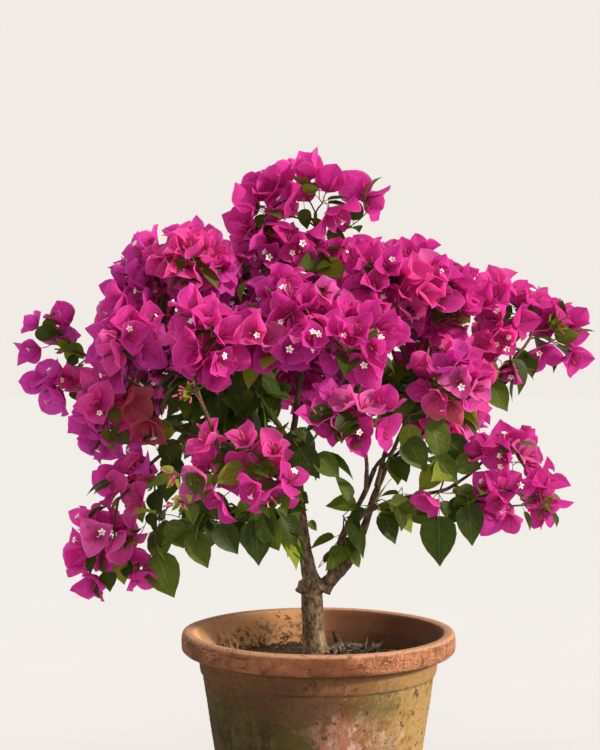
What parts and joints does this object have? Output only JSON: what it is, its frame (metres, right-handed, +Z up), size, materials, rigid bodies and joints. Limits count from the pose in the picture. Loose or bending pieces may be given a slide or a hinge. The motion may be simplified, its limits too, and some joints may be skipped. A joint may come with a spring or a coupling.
{
  "type": "potted bougainvillea bush",
  "caption": "Bushy bougainvillea with magenta bracts over dark heart-shaped leaves on a forked trunk, growing in a weathered round terracotta pot.",
  "frame": {"origin": "middle of the flat underside of the pot", "axes": "+Z up along the pot's axis; the front of the bush, as first seen, faces -Y; +X is to the right seen from the front"},
  "size_m": [0.72, 0.56, 0.898],
  "materials": {
    "terracotta": "matte",
    "soil": "matte",
    "bark": "matte",
    "bracts": "matte",
    "leaves": "matte"
  },
  "bodies": {
    "root": {"back_bough": "bark", "back_left": "bracts", "back_left_bough": "bark", "back_low_left": "leaves", "back_middle": "bracts", "back_right": "bracts", "back_right_bough": "bark", "back_right_top": "bracts", "back_top": "bracts", "crown_top": "bracts", "front_left": "bracts", "front_left_bough": "bark", "front_low_left": "bracts", "front_low_middle": "bracts", "front_low_right": "bracts", "front_middle": "bracts", "front_right": "bracts", "front_right_bough": "bark", "inner_left": "leaves", "inner_right": "leaves", "inner_stem": "bark", "leader": "bark", "left_bough": "bark", "left_dome": "bracts", "left_fringe": "leaves", "left_shoulder": "bracts", "left_side": "bracts", "left_stem": "bark", "left_tip_bough": "bark", "left_tip_lower": "bracts", "left_tip_upper": "bracts", "low_left_bough": "bark", "lower_left_bough": "bark", "lower_left_crest": "bracts", "lower_left_leaves": "leaves", "lower_left_tip": "bracts", "lower_right_bough": "bark", "lower_right_crest": "bracts", "lower_right_inner": "bracts", "lower_right_outer": "bracts", "middle_leaves": "leaves", "outer_dome": "bracts", "pot": "terracotta", "right_arm": "bark", "right_bough": "bark", "right_crown": "bracts", "right_dome": "bracts", "right_fringe": "leaves", "right_low_leaves": "leaves", "right_shoulder": "bracts", "right_side": "bracts", "right_stem": "bark", "right_tip": "bracts", "right_underside": "leaves", "soil": "soil", "trunk": "bark", "tuft_left": "bracts", "tuft_middle": "bracts", "tuft_right": "bracts", "underside": "leaves"}
  },
  "joints": []
}
